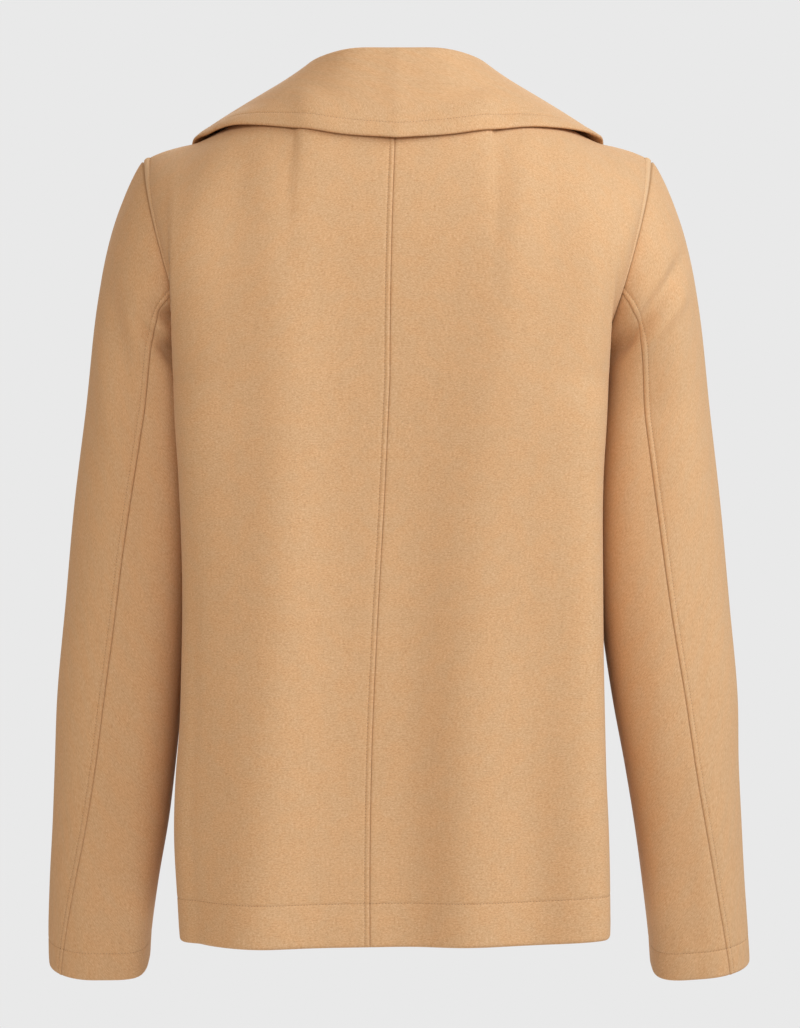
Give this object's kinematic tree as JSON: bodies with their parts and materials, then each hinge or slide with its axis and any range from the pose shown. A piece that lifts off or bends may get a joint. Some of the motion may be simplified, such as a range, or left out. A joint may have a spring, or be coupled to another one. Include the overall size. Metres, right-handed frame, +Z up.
{
  "type": "pea coat",
  "caption": "Short double-breasted wool coat with a wide turned-down collar, notched lapels, two-piece sleeves and a centre back seam, hollow in its worn form.",
  "frame": {"origin": "on the body's axis, level with the nape, where the wearer's neck and shoulders hold the coat up", "axes": "+Z up, the front faces -Y, the wearer's left is +X"},
  "size_m": [0.5445, 0.3035, 0.7089],
  "materials": {
    "wool": "felted camel wool coating, matt with a short nap",
    "button": "polished dark brown horn-look resin"
  },
  "bodies": {
    "root": {"back_left": "wool", "back_right": "wool", "front_left": "wool", "front_right": "wool", "sleeve_top_left": "wool", "sleeve_top_right": "wool", "sleeve_under_left": "wool", "sleeve_under_right": "wool", "collar": "wool", "lapel_left": "wool", "lapel_right": "wool", "pocket_welt_left": "wool", "pocket_welt_right": "wool", "button_1": "button", "button_2": "button", "button_3": "button", "button_4": "button", "button_5": "button", "button_6": "button"}
  },
  "joints": []
}
